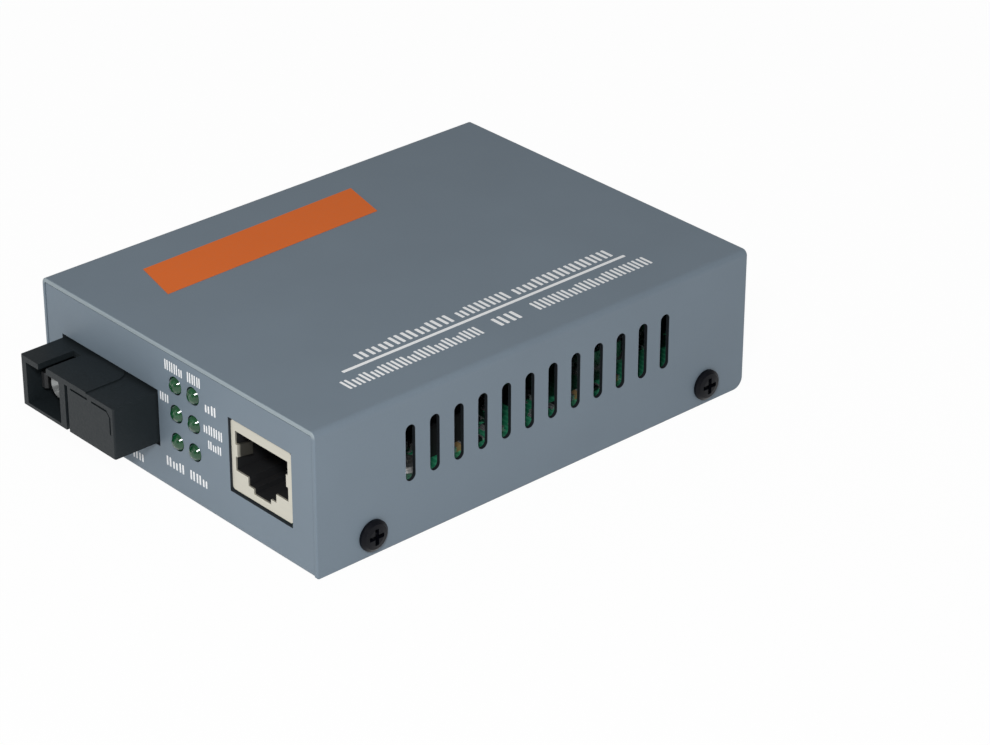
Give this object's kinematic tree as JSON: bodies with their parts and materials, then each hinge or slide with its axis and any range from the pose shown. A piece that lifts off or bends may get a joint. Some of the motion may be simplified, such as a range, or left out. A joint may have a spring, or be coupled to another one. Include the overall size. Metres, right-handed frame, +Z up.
{
  "type": "fibre media converter",
  "caption": "Small folded-steel network converter box with an optical port module, a network jack and status lamps in front, side vent slots and a rear power jack.",
  "frame": {"origin": "middle of the case's underside, on the ground", "axes": "+Z up, front panel with the sockets towards -Y, +X to the right seen from the front"},
  "size_m": [0.0722, 0.1017, 0.0261],
  "materials": {
    "case_paint": "satin blue-grey paint",
    "black_screw": "blackened",
    "bright_steel": "zinc plated",
    "orange_label": "matt strip",
    "green_board": "solder-masked glass-fibre board",
    "nickel_shield": "nickel plated",
    "black_plastic": "moulded",
    "gold_contact": "gold plated",
    "green_lens": "clear tinted epoxy",
    "tinned_lead": "tinned",
    "module_plastic": "moulded",
    "chip_mould": "moulded",
    "ferrite": "unglazed",
    "can_metal": "drawn can",
    "chip_ceramic": "fired with tinned ends",
    "resistor_ceramic": "coated with tinned ends"
  },
  "bodies": {
    "root": {"cover": "case_paint", "base_tray": "case_paint", "cover_screws": "black_screw", "board_screws": "bright_steel", "board_standoffs": "bright_steel", "circuit_board": "green_board", "rj45_shield": "nickel_shield", "rj45_contacts": "gold_contact", "rj45_insert": "black_plastic", "status_lamps": "green_lens", "lamp_holder": "black_plastic", "lamp_leads": "tinned_lead", "module_housing": "module_plastic", "module_bottom_cover": "module_plastic", "module_board": "green_board", "module_pins": "gold_contact", "optical_sleeve": "bright_steel", "optical_barrel": "bright_steel", "module_latch_clip": "black_plastic", "power_jack_body": "black_plastic", "power_jack_pin": "tinned_lead", "power_jack_spring": "tinned_lead", "converter_chip": "chip_mould", "converter_chip_leads": "tinned_lead", "memory_chip": "chip_mould", "memory_chip_leads": "tinned_lead", "line_transformer": "chip_mould", "transformer_leads": "tinned_lead", "power_inductor": "ferrite", "voltage_regulator": "chip_mould", "rectifier_diode": "chip_mould", "crystal_can": "can_metal", "can_capacitors": "can_metal", "chip_capacitors": "chip_ceramic", "chip_resistors": "resistor_ceramic", "top_label": "orange_label"}
  },
  "joints": []
}
